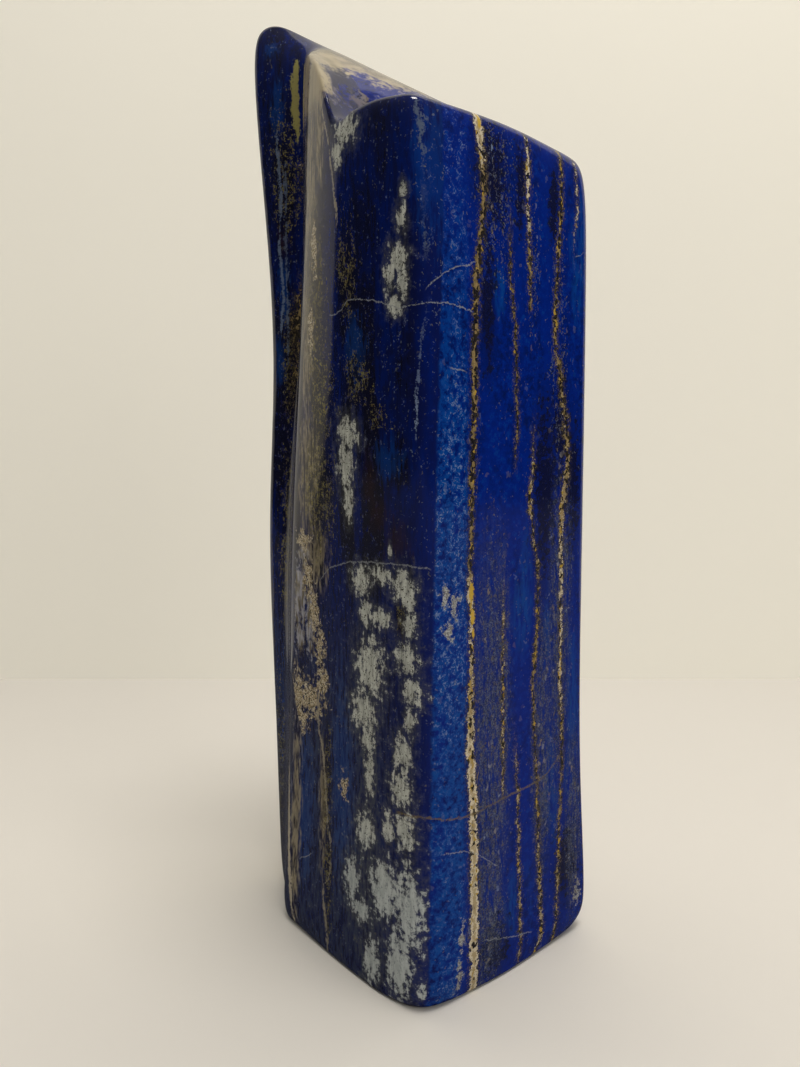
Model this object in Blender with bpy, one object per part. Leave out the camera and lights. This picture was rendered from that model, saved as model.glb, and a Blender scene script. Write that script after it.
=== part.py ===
"""A tall polished freeform of lapis lazuli, modelled as the one stone that it is.

The stone is a leaning column on a flat polished foot. Going round it as seen from above, it has a
front edge, a right face, a right edge, a rear edge, a lobe at the left rear, a groove beside the
lobe, a ridge, a crest that moves forwards as it climbs, and a bulging left face. The head is one
slanting face that climbs towards the lobe. A hollow dips into the left rim of the head.

Each of these is a guide that climbs the stone. Level rows through the guides make a low cage, and a
Subdivision Surface turns the cage into the rounded stone. Sizes are in millimetres until the cage
is finished. The origin is under the middle of the stone, on its foot.
"""

import math

import bpy
from mathutils import Vector

MM = 0.001
SUBDIVISIONS = 2

# The plan position of the origin, in the frame that the guides are given in.
ORIGIN_X = -1.0
ORIGIN_Y = 8.4

# The head lies along one slanting plane: its height, and its slope to the right and to the back.
HEAD_HEIGHT = 265.4
HEAD_SLOPE_X = -0.44
HEAD_SLOPE_Y = 0.3565

# How far the head sinks below that plane by the rear edge, and how far back that is.
SAG = 4.8
SAG_RUN = 50.0

# The hollow in the head: where it is deepest, its depth there and how far it spreads.
HOLLOW_X = -26.0
HOLLOW_Y = -17.0
HOLLOW_DEPTH = 19.0
HOLLOW_SPREAD = 20.0

# Rows of the cage, as shares of the height of each guide.
ROWS = (0.0, 0.006, 0.025, 0.06, 0.25, 0.45, 0.64, 0.81, 0.93, 0.982, 1.0)

# How much of its heel or crown a guide takes, from the outermost row inwards.
FOOT_INSETS = (1.0, 0.7, 0.17)
HEAD_INSETS = (1.0, 0.3)

# How far the ring inside the rim of the foot stands from that rim.
FOOT_RING = 5.0

# Where the lines across the head have their inner points, as shares of their length.
ACROSS = (0.22, 0.55)


class Guide:
    """One line that climbs the stone from its foot to its head.

    path: points (height, x, y), from low to high.
    soft_low, soft_high: distance to the cage points that round it off, before it and after it, at
    the foot and at the head; None where it has no such points.
    drop: how far its top stays below the face of the head.
    inset: how far the ring inside the rim of the head stands from it.
    heel, crown: how far the rounding pulls it inwards at the foot and at the head.
    """

    def __init__(self, path, soft_low, soft_high, drop, inset, heel, crown):
        self.path = path
        self.soft_low = soft_low or (None, None)
        self.soft_high = soft_high or (None, None)
        self.drop = drop
        self.inset = inset
        self.heel = heel
        self.crown = crown


FRONT = Guide(
    path=((0, -1.5, -41), (40, -0.5, -41), (150, 0.3, -41), (200, -1.5, -40.5), (255, -4.8, -39.5)),
    soft_low=(16.0, 15.0),
    soft_high=(7.0, 8.0),
    drop=0.6,
    inset=9.0,
    heel=4.0,
    crown=1.5,
)
RIGHT_FACE = Guide(
    path=((0, 26.5, -18), (50, 25.5, -17), (250, 21.5, -18)),
    soft_low=None,
    soft_high=None,
    drop=-1.9,
    inset=9.0,
    heel=0.0,
    crown=0.0,
)
RIGHT = Guide(
    path=((0, 58, 8), (45, 54.3, 8), (80, 52.3, 8), (120, 52.5, 8), (250, 50.5, 8)),
    soft_low=(8.0, 9.0),
    soft_high=(8.0, 9.0),
    drop=-2.8,
    inset=9.0,
    heel=7.0,
    crown=4.0,
)
REAR = Guide(
    path=((0, 22, 50), (130, 20, 50), (260, 17, 49)),
    soft_low=(13.0, 13.0),
    soft_high=(13.0, 13.0),
    drop=4.9,
    inset=9.0,
    heel=3.0,
    crown=3.0,
)
LOBE_REAR = Guide(
    path=((0, -39, 52), (130, -43, 56), (290, -44, 56)),
    soft_low=(12.0, None),
    soft_high=(12.0, None),
    drop=6.6,
    inset=6.0,
    heel=3.0,
    crown=4.0,
)
LOBE = Guide(
    path=(
        (0, -53, 36),
        (50, -56.2, 38),
        (85, -55.2, 39),
        (125, -60.2, 40),
        (172, -52.6, 40),
        (220, -56, 40),
        (260, -60, 40),
        (300, -63.5, 40),
    ),
    soft_low=None,
    soft_high=None,
    drop=5.8,
    inset=8.0,
    heel=1.5,
    crown=6.0,
)
CHEEK = Guide(
    path=((0, -50, 26), (60, -51, 30), (125, -52, 32), (180, -47, 32), (235, -47, 31), (300, -50, 30)),
    soft_low=None,
    soft_high=None,
    drop=5.8,
    inset=6.0,
    heel=1.5,
    crown=4.0,
)
GROOVE = Guide(
    path=((0, -48, 20), (60, -46.5, 25), (125, -46, 28), (180, -40, 30), (235, -35, 32), (290, -36, 29)),
    soft_low=None,
    soft_high=None,
    drop=4.5,
    inset=5.0,
    heel=1.0,
    crown=1.0,
)
RIDGE = Guide(
    path=(
        (0, -51, 12),
        (25, -47, 12),
        (60, -44.8, 12),
        (125, -44.5, 12),
        (180, -42, 15),
        (235, -40.3, 18),
        (285, -40.5, 18),
    ),
    soft_low=None,
    soft_high=None,
    drop=5.2,
    inset=7.0,
    heel=3.5,
    crown=2.0,
)
CREST = Guide(
    path=((0, -46, 7), (60, -40.7, 7), (125, -40, 7), (180, -37, 4), (235, -33, -4), (275, -30.5, -8)),
    soft_low=None,
    soft_high=None,
    drop=2.9,
    inset=7.0,
    heel=3.0,
    crown=0.5,
)
LEFT_FACE = Guide(
    path=(
        (0, -32, -8),
        (60, -29.5, -8),
        (125, -28.5, -8.5),
        (180, -28, -11),
        (235, -26, -18),
        (260, -27.8, -13),
    ),
    soft_low=None,
    soft_high=None,
    drop=20.9,
    inset=7.0,
    heel=0.0,
    crown=0.0,
)
SHOULDER = Guide(
    path=(
        (0, -16, -26),
        (60, -15, -26),
        (125, -14.5, -26),
        (180, -14.5, -27.5),
        (235, -15.5, -30),
        (260, -18.5, -27.5),
    ),
    soft_low=None,
    soft_high=None,
    drop=9.0,
    inset=7.0,
    heel=0.0,
    crown=0.5,
)
GUIDES = (
    FRONT,
    RIGHT_FACE,
    RIGHT,
    REAR,
    LOBE_REAR,
    LOBE,
    CHEEK,
    GROOVE,
    RIDGE,
    CREST,
    LEFT_FACE,
    SHOULDER,
)


def head_face(x, y):
    """Height of the face of the head over a plan position, without the hollow."""
    rearwards = max(0.0, 0.25 * x + 0.93 * y) / SAG_RUN
    return HEAD_HEIGHT + HEAD_SLOPE_X * x + HEAD_SLOPE_Y * y - SAG * rearwards**2


def hollow(x, y):
    """How far the hollow sinks the head at a plan position."""
    away = math.hypot(x - HOLLOW_X, y - HOLLOW_Y)
    return HOLLOW_DEPTH * math.exp(-((away / HOLLOW_SPREAD) ** 2))


def along(path, height):
    """The plan position of a path at a height, on a smooth curve through its points."""
    k = 0
    while k < len(path) - 2 and height > path[k + 1][0]:
        k += 1
    z0, z1 = path[k][0], path[k + 1][0]
    t = (height - z0) / (z1 - z0)
    place = []
    for axis in (1, 2):
        a, b = path[k][axis], path[k + 1][axis]
        slope_a = slope_b = (b - a) / (z1 - z0)
        if k > 0:
            slope_a = (b - path[k - 1][axis]) / (z1 - path[k - 1][0])
        if k < len(path) - 2:
            slope_b = (path[k + 2][axis] - a) / (path[k + 2][0] - z0)
        rise = z1 - z0
        place.append(
            a * (2 * t**3 - 3 * t**2 + 1)
            + b * (3 * t**2 - 2 * t**3)
            + slope_a * rise * (t**3 - 2 * t**2 + t)
            + slope_b * rise * (t**3 - t**2)
        )
    return place


def top_of(guide):
    """Height at which a guide meets the rim of the head."""
    x, y = guide.path[-1][1:]
    return head_face(x, y) - guide.drop


def with_neighbours(stations, share):
    """The points of the guides in order, with the points that soften the edges between them."""
    ring = []
    for i, guide in enumerate(GUIDES):
        here = stations[i]
        before = stations[i - 1]
        after = stations[(i + 1) % len(GUIDES)]
        if guide.soft_low[0]:
            distance = guide.soft_low[0] * (1 - share) + guide.soft_high[0] * share
            ring.append(here + (before - here).normalized() * distance)
        ring.append(here)
        if guide.soft_low[1]:
            distance = guide.soft_low[1] * (1 - share) + guide.soft_high[1] * share
            ring.append(here + (after - here).normalized() * distance)
    return ring


def row(k):
    """Row k of the cage, anticlockwise as seen from above."""
    points = []
    for guide in GUIDES:
        height = ROWS[k] * top_of(guide)
        x, y = along(guide.path, height)
        points.append(Vector((x, y, height)))
    for i, guide in enumerate(GUIDES):
        inset = 0.0
        if k < len(FOOT_INSETS):
            inset = guide.heel * FOOT_INSETS[k]
        from_top = len(ROWS) - 1 - k
        if from_top < len(HEAD_INSETS):
            inset = guide.crown * HEAD_INSETS[from_top]
        run = points[(i + 1) % len(points)] - points[i - 1]
        points[i] = points[i] + Vector((-run.y, run.x, 0.0)).normalized() * inset
    return with_neighbours(points, ROWS[k])


def per_column(values):
    """One value for each column of the cage, from one value for each guide."""
    spread = []
    for guide, value in zip(GUIDES, values):
        columns = 1 + bool(guide.soft_low[0]) + bool(guide.soft_low[1])
        spread += [value] * columns
    return spread


def inner_ring(rim, distances):
    """A ring inside a rim, each point moved square to the rim by its own distance."""
    ring = []
    for i, point in enumerate(rim):
        run = rim[(i + 1) % len(rim)] - rim[i - 1]
        inwards = Vector((-run.y, run.x, 0.0)).normalized()
        ring.append(point + inwards * distances[i])
    return ring


def lines_across(ring, start):
    """Lines across the ring inside the rim, from its left side to its rear side.

    They begin next to the column that they start from. The last one is a side of the ring.
    """
    count = len(ring)
    lines = []
    for k in range(1, count // 2 + 1):
        left = ring[(start + k) % count]
        rear = ring[(start - k) % count]
        shares = ACROSS if k < count // 2 else ()
        lines.append([left, *(left.lerp(rear, share) for share in shares), rear])
    return lines


def ring_start():
    """The column of the rear side of the lobe, where the lines across the head start."""
    columns = per_column(GUIDES)
    return columns.index(LOBE_REAR) + 1


def cage():
    """Points and faces of the whole cage, from the middle of the foot to the middle of the head."""
    rows = [row(k) for k in range(len(ROWS))]
    count = len(rows[0])
    foot = inner_ring(rows[0], [FOOT_RING] * count)
    brow = inner_ring(rows[-1], per_column([guide.inset for guide in GUIDES]))
    points = [point for ring in (foot, *rows, brow) for point in ring]
    faces = [tuple(reversed(range(count)))]
    for k in range(len(rows) + 1):
        for i in range(count):
            j = (i + 1) % count
            faces.append((k * count + i, k * count + j, (k + 1) * count + j, (k + 1) * count + i))
    last = (len(rows) + 1) * count
    start = ring_start()
    lines = []
    for k, line in enumerate(lines_across(brow, start), start=1):
        first = len(points)
        inner = line[1:-1]
        points += inner
        left = last + (start + k) % count
        rear = last + (start - k) % count
        lines.append([left, *range(first, first + len(inner)), rear])
    faces.append((lines[0][-1], last + start, *lines[0][:-1]))
    for near, far in zip(lines[:-2], lines[1:-1]):
        for s in range(len(near) - 1):
            faces.append((near[s], far[s], far[s + 1], near[s + 1]))
    faces.append((lines[-2][0], *lines[-1], *reversed(lines[-2][1:])))
    for point in points[last:]:
        point.z = head_face(point.x, point.y) - hollow(point.x, point.y)
    origin = Vector((ORIGIN_X, ORIGIN_Y, 0.0))
    return [(point - origin) * MM for point in points], faces


def lapis_material():
    material = bpy.data.materials.new("polished_lapis")
    material.use_nodes = True
    shader = material.node_tree.nodes["Principled BSDF"]
    shader.inputs["Base Color"].default_value = (0.012, 0.03, 0.25, 1.0)
    shader.inputs["Roughness"].default_value = 0.12
    shader.inputs["Metallic"].default_value = 0.0
    return material


def make_stone():
    points, faces = cage()
    mesh = bpy.data.meshes.new("lapis_stone")
    mesh.from_pydata(points, [], faces)
    mesh.materials.append(lapis_material())
    mesh.shade_smooth()
    stone = bpy.data.objects.new("lapis_stone", mesh)
    bpy.context.scene.collection.objects.link(stone)
    surface = stone.modifiers.new("polish", "SUBSURF")
    surface.levels = SUBDIVISIONS
    surface.render_levels = SUBDIVISIONS
    return stone


def main():
    for old in list(bpy.data.objects):
        bpy.data.objects.remove(old, do_unlink=True)
    make_stone()


main()
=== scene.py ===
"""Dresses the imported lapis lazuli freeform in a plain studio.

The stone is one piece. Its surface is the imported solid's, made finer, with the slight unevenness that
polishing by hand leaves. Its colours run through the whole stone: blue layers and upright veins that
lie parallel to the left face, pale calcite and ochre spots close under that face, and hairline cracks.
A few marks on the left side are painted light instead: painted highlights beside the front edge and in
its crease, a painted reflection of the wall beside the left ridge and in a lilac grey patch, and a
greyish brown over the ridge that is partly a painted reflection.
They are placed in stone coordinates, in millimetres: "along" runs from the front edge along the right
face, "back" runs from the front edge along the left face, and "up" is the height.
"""

import math

import bmesh
import bpy
from bpy.props import FloatProperty, FloatVectorProperty, IntProperty, PointerProperty
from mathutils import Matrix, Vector


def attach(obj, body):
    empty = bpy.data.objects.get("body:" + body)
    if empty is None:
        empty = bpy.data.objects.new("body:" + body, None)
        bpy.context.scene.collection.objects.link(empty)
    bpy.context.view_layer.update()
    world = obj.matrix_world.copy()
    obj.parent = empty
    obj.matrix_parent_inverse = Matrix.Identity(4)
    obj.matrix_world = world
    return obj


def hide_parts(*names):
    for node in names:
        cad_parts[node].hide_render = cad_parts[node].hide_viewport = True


bl_info = {
    "name": "Lapis Lazuli Freeform",
    "version": (1, 0, 0),
    "blender": (4, 5, 0),
    "location": "View3D > Sidebar > Lapis",
    "description": "Builds a polished lapis lazuli freeform and the plain studio it stands in",
    "category": "Object",
}

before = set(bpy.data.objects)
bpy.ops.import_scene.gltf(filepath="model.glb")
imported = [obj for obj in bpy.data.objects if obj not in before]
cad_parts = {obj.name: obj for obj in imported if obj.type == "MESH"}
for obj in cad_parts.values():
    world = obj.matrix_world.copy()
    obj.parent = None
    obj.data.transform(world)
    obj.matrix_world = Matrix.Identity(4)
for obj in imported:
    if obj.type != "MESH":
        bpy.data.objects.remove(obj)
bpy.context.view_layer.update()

MM = 0.001
NODE = "lapis_stone"
PIECE = "polished_stone"
SLOT = "polished_lapis"
STONE_IOR = 1.5

# Where the stone coordinates start, and how far the right face is turned from the X axis.
EDGE_X = 0.5 * MM
EDGE_Y = -49.4 * MM
FACE_TURN = math.radians(42.77)

# Vertices nearer than this are one, and triangles join in pairs up to this angle.
SAME_PLACE = 0.001 * MM
QUAD_LIMIT = math.radians(60)

# The waves that polishing by hand leaves.
WAVE_HEIGHT = 0.1 * MM
WAVE_LENGTH = 26 * MM
WAVE_SEED = 3

# The extra trough in the floor of the hollow in the head, in stone coordinates.
HOLLOW_DEPTH = 6 * MM
HOLLOW_ALONG = 14 * MM
HOLLOW_BACK = 37 * MM
HOLLOW_HALF_LENGTH = 12 * MM
HOLLOW_HALF_WIDTH = 6 * MM

# The heights, places and widths that the curves of the veins and cracks reach, in millimetres.
TOP = 300
ACROSS = 100
WIDEST = 4

# Veins: (up, along) points of the line that each follows, (up, width) points, and the (up, share)
# points of its pale grains among the dark ones.
VEINS = {
    "main": (
        (
            (0, 20), (21, 19.4), (52, 19), (68, 18), (80, 16.9), (115, 17.3), (124, 16.4), (155, 17.4),
            (182, 18.3), (203, 18.9), (213, 19.7), (232, 22.2), (246, 21), (252, 20.8), (300, 19),
        ),
        (
            (0, 2.8), (40, 3.1), (75, 2.9), (95, 2.4), (108, 1.2), (120, 1.8), (130, 1.2), (160, 1.8),
            (210, 2), (235, 1.6), (250, 2.4), (255, 0), (300, 0),
        ),
        (
            (0, 0.9), (70, 0.9), (95, 0.65), (118, 0.8), (135, 0.45), (200, 0.4), (228, 0.45),
            (240, 0.7), (250, 0.95), (300, 0.8),
        ),
    ),
    "upper": (
        ((0, 38), (200, 41.5), (210, 41.5), (232, 40.2), (249, 40.1), (300, 39)),
        ((0, 0), (196, 0), (206, 0.5), (222, 0.8), (250, 0.9), (300, 1)),
        ((0, 0.5), (215, 0.5), (232, 0.8), (300, 0.7)),
    ),
    "short": (
        ((0, 35), (150, 35.5), (171, 36.4), (182, 35.8), (193, 35.6), (215, 33), (300, 33)),
        ((0, 0), (150, 0), (166, 0.4), (192, 0.5), (212, 0.3), (235, 0)),
        ((0, 0.4), (300, 0.4)),
    ),
    "second": (
        (
            (0, 47), (8, 49.9), (29, 48.8), (44, 48.3), (73, 46.6), (92, 45.4), (107, 46.9), (122, 47.1),
            (135, 44.9), (147, 42.7), (159, 43.9), (190, 44), (300, 46),
        ),
        (
            (0, 0.9), (30, 1), (70, 0.5), (110, 0.9), (125, 0.5), (140, 0.6), (148, 1), (156, 0.5),
            (176, 0),
        ),
        ((0, 0.7), (60, 0.5), (110, 0.45), (140, 0.6), (300, 0.5)),
    ),
    "right": (
        (
            (0, 57), (16, 57.7), (39, 58.7), (65, 60.2), (89, 58.7), (121, 58.3), (143, 58.1), (158, 60.1),
            (177, 57.6), (186, 55.4), (194, 53.2), (212, 53.7), (226, 54.8), (249, 55.8), (300, 56),
        ),
        (
            (0, 0.6), (40, 0.8), (90, 0.9), (130, 1.1), (150, 2), (175, 1.6), (205, 1.2), (230, 1),
            (300, 0.7),
        ),
        ((0, 0.6), (60, 0.5), (100, 0.75), (150, 0.6), (200, 0.5), (300, 0.6)),
    ),
    "inner": (
        ((0, 31), (70, 31.7), (89, 31.4), (107, 31.1), (120, 31), (300, 30)),
        ((0, 0), (50, 0), (66, 0.5), (78, 0.7), (98, 0.4), (116, 0.2), (130, 0)),
        ((0, 0.6), (300, 0.6)),
    ),
    "low": (
        ((0, 40), (13, 39.8), (46, 38.8), (72, 37.6), (90, 37), (300, 36)),
        ((0, 0.2), (40, 0.5), (62, 0.3), (78, 0.1), (90, 0)),
        ((0, 0.6), (300, 0.6)),
    ),
    "rear_first": (
        ((0, 77), (60, 78.5), (120, 76.5), (180, 78), (240, 76.5), (300, 77)),
        ((0, 0.9), (60, 0.5), (110, 1.2), (170, 0.8), (230, 1.4), (300, 0.8)),
        ((0, 0.5), (100, 0.7), (200, 0.5), (300, 0.6)),
    ),
    "rear_second": (
        ((0, 88), (70, 86.5), (140, 88), (210, 86), (300, 87)),
        ((0, 0.5), (80, 1), (150, 0.4), (220, 0.9), (300, 0.5)),
        ((0, 0.6), (300, 0.6)),
    ),
    "edge": (
        ((0, 63), (221, 61.6), (233, 62.9), (243, 62.9), (300, 64)),
        ((0, 0), (205, 0), (222, 0.1), (240, 0.3), (255, 0.1), (300, 0)),
        ((0, 0.8), (300, 0.8)),
    ),
}

# How strong the bright band beside the front edge is, and how many pale specks it has, by height.
BAND_STRENGTH = ((0, 0.9), (60, 1), (150, 0.95), (190, 0.7), (225, 0.3), (245, 0.08), (300, 0.05))
PALE_SPECKS = (
    (0, 0.25), (30, 0.12), (80, 0.14), (105, 0.3), (190, 0.3), (215, 0.18), (235, 0.14), (244, 0.2),
    (254, 0.2), (300, 0),
)

# Zones of the right face: (along, up, half width, half height) of each oval.
BRIGHT_ZONES = (
    (35.5, 23, 3.5, 16), (44, 20, 4, 16), (66, 80, 6, 30), (53, 55, 5, 24), (40, 120, 5, 20),
    (52, 108, 4, 16), (29, 205, 4, 10), (64, 215, 6, 30),
)
DARK_ZONES = (
    (25, 236, 8, 18), (23.5, 203, 4, 24), (37, 235, 3, 16), (52, 232, 3, 14), (50, 150, 8, 34),
    (63, 150, 5, 26), (57, 168, 4, 22), (28, 12, 8, 12), (62, 28, 8, 16),
)
DUST_ZONES = (
    (26, 75, 12, 90), (25, 30, 11, 50), (31, 92, 5, 60), (50, 70, 7, 60), (58, 110, 8, 80),
    (66, 40, 6, 44), (27, 232, 12, 30), (55, 190, 6, 50), (43, 215, 4, 28), (80, 60, 6, 60),
    (84, 170, 7, 50),
)
PALE_BLOBS = (
    (14.5, 20, 1.3, 6), (14, 8, 1.3, 6), (7, 124, 2.4, 3), (10, 121, 2.4, 4), (8, 114, 2.4, 3),
    (68, 15, 2.4, 4),
)

NUGGETS = (
    (17, 123.5, 1.1, 3), (17.6, 116.2, 0.9, 2.4), (17.9, 111.6, 0.6, 1.6), (21, 249, 0.7, 2),
)

# Where the dark layer under the left face ends along the right face, by height, how much further along
# it ends with the distance back, and how black it is by height.
LAYER_EDGE = ((0, 2.4), (66, 2.4), (123, 2.8), (176, 3.9), (226, 6), (300, 7))
LAYER_SLANT = ((0, 0), (6, 2), (30, 9), (60, 12), (75, 22), (95, 28))
BLACKNESS = ((0, 0.25), (110, 0.3), (135, 0.9), (200, 0.8), (250, 0.6), (300, 0.8))

# Zones of the left side: (back, up, half width, half height) of each oval.
CALCITE = (
    (30, 247.5, 5.5, 4.5), (34, 243, 2.5, 4), (9, 222, 1.8, 3.5), (8, 229, 1.2, 2),
    (10.5, 213, 3.2, 3.6), (13.2, 208, 2, 4.5), (8.8, 206, 1.7, 5), (11.5, 201, 2.6, 2.6),
    (33.5, 167, 5.4, 5), (34.5, 158, 4, 7), (33.5, 148, 2.4, 6), (15, 135, 0.8, 2), (28, 125, 4.6, 4.4),
    (18.5, 128, 5, 2.6), (10.5, 126, 4.6, 4.4), (8, 122.5, 2.6, 3.5), (26, 116, 3, 4.5),
    (19, 115.5, 4.5, 3), (7.5, 115.5, 2.8, 3.6), (24, 100, 6.4, 9.5), (9, 106, 4.4, 4.4),
    (6.5, 96.5, 3.4, 4.2), (7.3, 88, 2, 4.6), (10.2, 78, 3.3, 6), (10.8, 67.5, 4.2, 5.6),
    (27, 86, 6, 6), (25, 78, 3.4, 4.6), (24, 68, 2.4, 7), (26, 49.5, 4.2, 6.4), (15.5, 54, 2.2, 5.4),
    (9, 55, 3.8, 6.6), (32.5, 31, 4, 7.4), (28, 23, 4.5, 4), (17.5, 34, 6.6, 9), (8, 32, 5.4, 13),
    (11, 14, 5, 12), (22.5, 9, 3.8, 7.5), (3.8, 6, 1.4, 3.5),
)
OCHRE = (
    (60, 133, 5, 3.4), (57, 122, 3.4, 7), (53.5, 111, 3, 8), (50, 100, 3.4, 9), (49, 89, 3.4, 6),
    (56, 82, 8.5, 6.4), (63, 84, 4, 8), (60, 74, 3, 5), (37, 59.5, 2.6, 4), (51, 221, 2.4, 9),
    (54, 198, 2.2, 8),
)
FLECKS = (
    (50, 205, 9, 30), (48, 180, 10, 26), (50, 150, 12, 24), (46, 60, 3.4, 26), (45, 30, 3, 26),
    (84, 250, 6, 24), (83, 190, 5, 20), (82, 130, 6, 40), (86, 50, 7, 40), (28, 182, 8, 10),
    (11, 117, 3, 6), (31, 212, 6, 16), (66, 205, 4, 20), (20, 172, 6, 6),
)
# Greyish brown over the left ridge: partly the stone's own tan, partly a painted reflection of the wall.
RIDGE_VEIL_AND_REFLECTION = (
    (55, 235, 9, 36), (57, 195, 8, 34), (56, 155, 10, 30), (52, 130, 9, 14), (46, 250, 5, 16),
    (48, 50, 3, 26), (64, 40, 4, 50),
)
# Painted reflection: lilac grey near the left ridge, low down, where the wall is mirrored at a grazing
# angle.
LILAC_REFLECTION = ((61.5, 117, 4.6, 12), (62.5, 101, 4, 8), (56, 108, 3.5, 16), (60, 128, 5, 6), (64, 112, 3, 18))
RUST = ((23, 154, 5, 12), (20, 145, 6, 7), (86, 230, 3, 8), (10, 116, 4, 6), (12, 138, 7, 9))

# Zones of the head, seen from above: (along, back, half width, half depth) of each oval.
HEAD_TAN = ((18, 62, 24, 12), (40, 52, 22, 11), (2, 52, 6, 12), (60, 38, 16, 9))
HOLLOW_BLUE = ((11, 42, 7, 6), (18, 38, 8, 6), (6, 36, 5, 7))
HOLLOW_BROWN = ((15, 41, 5, 4), (21, 36, 4, 4), (12, 36, 4, 3))

# Thin upright lines on the left side, veins and painted highlights and reflections: (up, back) points,
# (up, width) points, colour and its share.
LEFT_LINES = {
    # Painted highlight: a thin pale blue streak on the rounding beside the front edge, not a vein.
    "painted_edge_highlight": (
        ((0, 5), (165, 5.2), (170, 5), (181, 4.6), (191, 3.5), (200, 2.4), (210, 2), (300, 2)),
        ((0, 0), (164, 0), (169, 0.4), (180, 0.2), (198, 0.1), (206, 0)),
        "pale_blue", 0.9,
    ),
    "from_hollow": (
        ((0, 35), (226, 35), (233, 36), (247, 39), (256, 43), (268, 46), (300, 46)),
        ((0, 0), (222, 0), (230, 0.9), (238, 0.5), (256, 0.5), (264, 0)),
        "cream", 0.5,
    ),
    "low_left": (
        (
            (0, 45), (3, 45), (21, 47.5), (27, 44.4), (36, 43.6), (46, 46), (52, 46.6), (64, 48),
            (78, 51.6), (300, 52),
        ),
        ((0, 0.7), (20, 0.6), (30, 0.3), (46, 0.4), (58, 0.9), (78, 1.1), (86, 0)),
        "cream", 0.45,
    ),
    # Painted highlight: a soft pale blue line down the crease near the top of the front edge.
    "painted_crease_highlight": (
        ((0, 5), (212, 2.7), (221, 3.2), (236, 3.7), (243, 4.2), (248, 5.1), (300, 6)),
        ((0, 0), (208, 0), (216, 0.2), (228, 0.1), (240, 0.3), (247, 0.7), (250, 0.2), (252, 0)),
        "pale_blue", 0.4,
    ),
    "lobe_first": (
        ((0, 85), (200, 87), (214, 86), (226, 87.1), (243, 86), (262, 86.5), (300, 86)),
        (
            (0, 0), (196, 0), (206, 1.1), (214, 0.3), (222, 0.9), (234, 0.2), (246, 0.8), (262, 0.3),
            (268, 0),
        ),
        "pale_blue", 0.55,
    ),
    "lobe_second": (
        ((0, 84), (207, 84.5), (226, 84.8), (243, 84.4), (270, 84), (300, 84)),
        ((0, 0), (180, 0), (196, 0.4), (214, 0.8), (230, 0.2), (244, 0.6), (256, 0)),
        "pale_blue", 0.4,
    ),
    # Painted reflection: a pale strip where the left ridge's edge mirrors the wall, not a vein.
    "painted_side_reflection": (
        ((0, 65), (9, 66), (26, 68.2), (49, 70.8), (66, 74), (90, 78), (300, 78)),
        ((0, 0.5), (20, 1.9), (40, 2), (54, 1), (70, 0.3), (84, 0)),
        "cream", 0.8,
    ),
    "lobe_strip": (
        ((0, 80), (262, 80), (274, 80.5), (284, 80), (300, 80)),
        ((0, 0), (258, 0), (265, 2), (280, 2.2), (285, 0)),
        "moss", 1,
    ),
}
BLUE_SPOTS = (
    (16, 160, 8, 7), (88.5, 289, 3, 4), (86, 217, 3, 9), (88, 190, 4, 12), (28, 190, 6, 14),
    (86, 60, 8, 40), (60, 45, 9, 34), (38, 60, 8, 40), (3, 235, 3, 24), (86, 270, 3, 14),
    (85.5, 208, 2.4, 12),
)

# Hairline cracks across the two front faces: (place, up) points, width and strength. The place is below
# zero on the left face and above zero on the right face.
CRACKS = {
    "upper": (
        (
            (-41.6, 200.5), (-35.3, 201.5), (-32, 203.8), (-22, 202.8), (-10, 200.1), (3.7, 201.2),
            (17, 199.7),
        ),
        0.26, 0.75,
    ),
    "rising": (((-2, 203.6), (0.8, 206), (7.3, 209.6), (18, 212.9)), 0.3, 0.7),
    "corner": (((60.5, 218.6), (63, 219.6), (66, 221.2)), 0.25, 0.7),
    "arc": (
        (
            (-48.5, 120.6), (-47.6, 121.7), (-43.4, 125.6), (-37.4, 128.4), (-30, 130.1),
            (-19.3, 131.3), (-5, 131.9), (1.5, 131.7),
        ),
        0.3, 0.6,
    ),
    "middle": (((6.8, 184.8), (11, 184.3), (14.6, 183.5)), 0.25, 0.7),
    "long": (
        (
            (-13.2, 59.9), (-0.9, 61.1), (9, 59), (19.5, 57.7), (30.5, 58.2), (39.8, 58.5),
            (49.6, 58.9), (60.7, 65.1),
        ),
        0.5, 0.7,
    ),
    "lower": (((5.1, 49.5), (17.5, 46.4), (31, 36.6)), 0.22, 0.7),
    "foot": (((23.8, 15.9), (38.6, 11.6), (47.5, 9.8)), 0.3, 0.7),
    "left": (((-61.3, 25.1), (-52.2, 31.6)), 0.25, 0.7),
}


def distance_property(name, description, value):
    """A distance that a user can change."""
    return FloatProperty(
        name=name, description=description, default=value, subtype="DISTANCE", unit="LENGTH", precision=5
    )


def colour_property(name, description, value):
    """A colour that a user can change, in linear values."""
    return FloatVectorProperty(
        name=name, description=description, default=value, min=0, max=1, size=3, subtype="COLOR"
    )


def power_property(name, lamp, watts):
    """The power of one of the lamps."""
    return FloatProperty(name=name, description=f"Power of the lamp {lamp}, in watts", default=watts, min=0)


class StoneSettings(bpy.types.PropertyGroup):
    """Sizes and finish of the stone's surface."""

    refine: IntProperty(
        name="Refine", description="How often each face of the solid is divided", default=2, min=0, max=2
    )
    wave_height: distance_property("Wave Height", "How far the polished face waves in and out", WAVE_HEIGHT)
    wave_length: distance_property("Wave Length", "Distance from one wave to the next", WAVE_LENGTH)
    hollow_depth: distance_property("Hollow Depth", "How much deeper the hollow is made", HOLLOW_DEPTH)
    roughness: FloatProperty(
        name="Roughness",
        description="Roughness of the polished blue stone",
        default=0.09,
        min=0,
        max=1,
        subtype="FACTOR",
    )


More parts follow.
